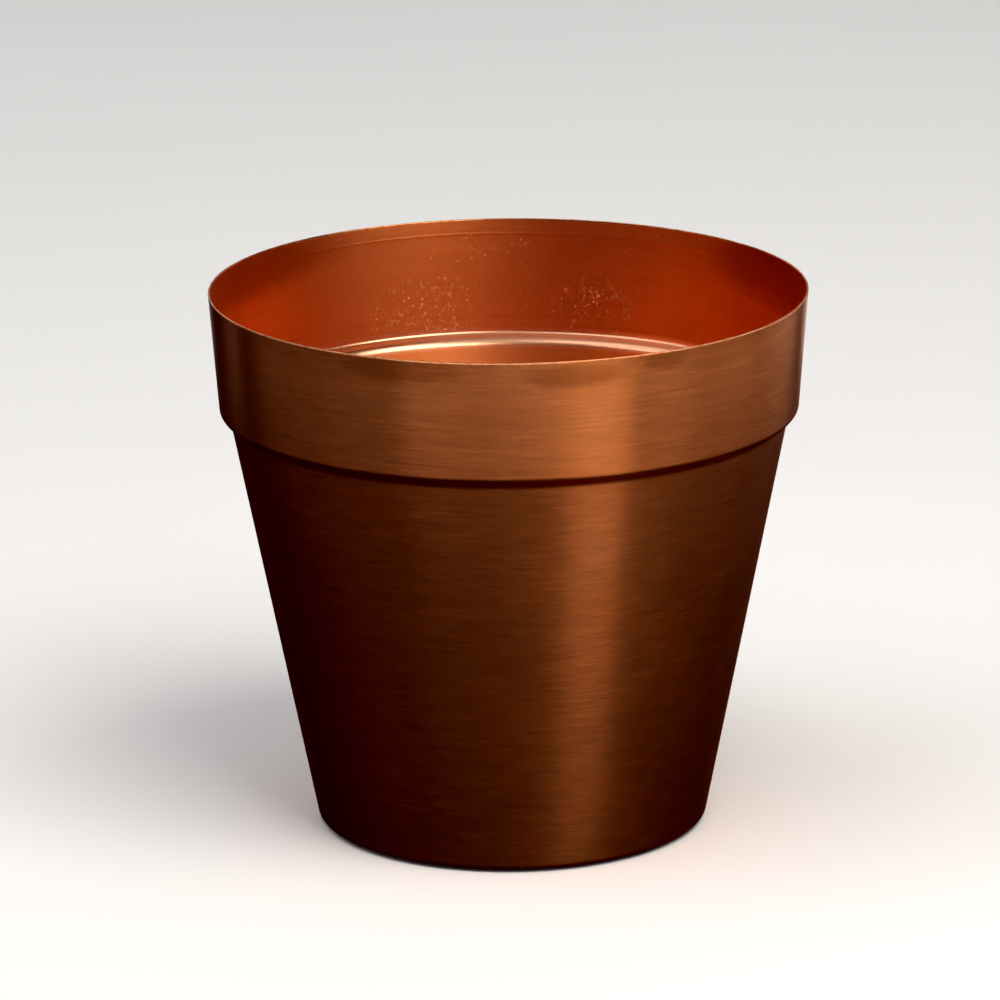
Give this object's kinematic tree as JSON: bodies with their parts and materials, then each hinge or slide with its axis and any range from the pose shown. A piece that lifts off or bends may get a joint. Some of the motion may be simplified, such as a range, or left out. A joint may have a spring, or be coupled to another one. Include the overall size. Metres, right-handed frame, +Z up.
{
  "type": "plant pot",
  "caption": "Tapered round metal plant pot with a stepped upright collar, open top, closed flat floor and thin pads under the base.",
  "frame": {"origin": "middle of the pot's footprint, on the surface it stands on, at the bottom of the pads", "axes": "+Z up along the pot's axis, towards the open rim; the pot is round, and +X and +Y point between the pads"},
  "size_m": [0.15, 0.15, 0.1375],
  "materials": {
    "copper": "copper-coloured metal, brushed round outside, satin inside",
    "pad": "dark felt"
  },
  "bodies": {
    "root": {"pot_shell": "copper", "foot_pad_1": "pad", "foot_pad_2": "pad", "foot_pad_3": "pad", "foot_pad_4": "pad"}
  },
  "joints": []
}
